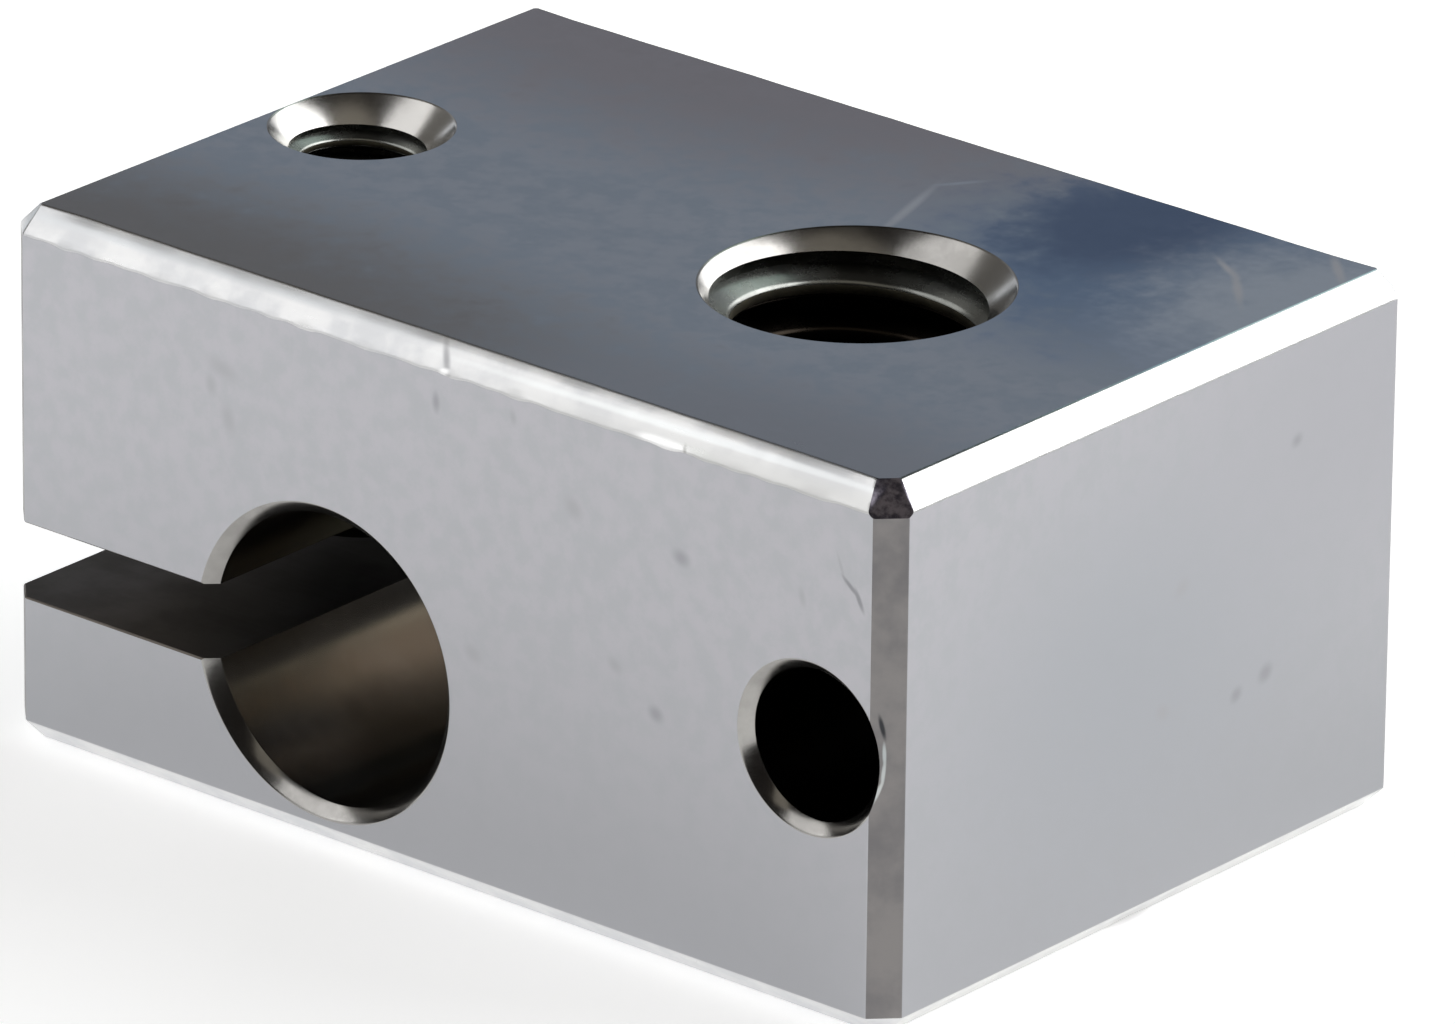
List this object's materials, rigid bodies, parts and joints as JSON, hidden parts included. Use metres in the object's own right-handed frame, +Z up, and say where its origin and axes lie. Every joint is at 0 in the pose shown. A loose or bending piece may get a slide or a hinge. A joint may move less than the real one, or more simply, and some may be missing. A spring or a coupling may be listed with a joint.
{
  "type": "heater block",
  "caption": "Small chamfered aluminium block with a slit clamping bore for a heater cartridge, a thinner bore for a sensor cartridge and a threaded hole through its height.",
  "frame": {"origin": "middle of the underside", "axes": "+X along the block from the clamping end to the plain end, +Y along the two cartridge bores, +Z up along the threaded hole"},
  "size_m": [0.023, 0.016, 0.0115],
  "materials": {
    "block": "milled and deburred, plain"
  },
  "bodies": {
    "root": {"heater_block": "block"}
  },
  "joints": []
}
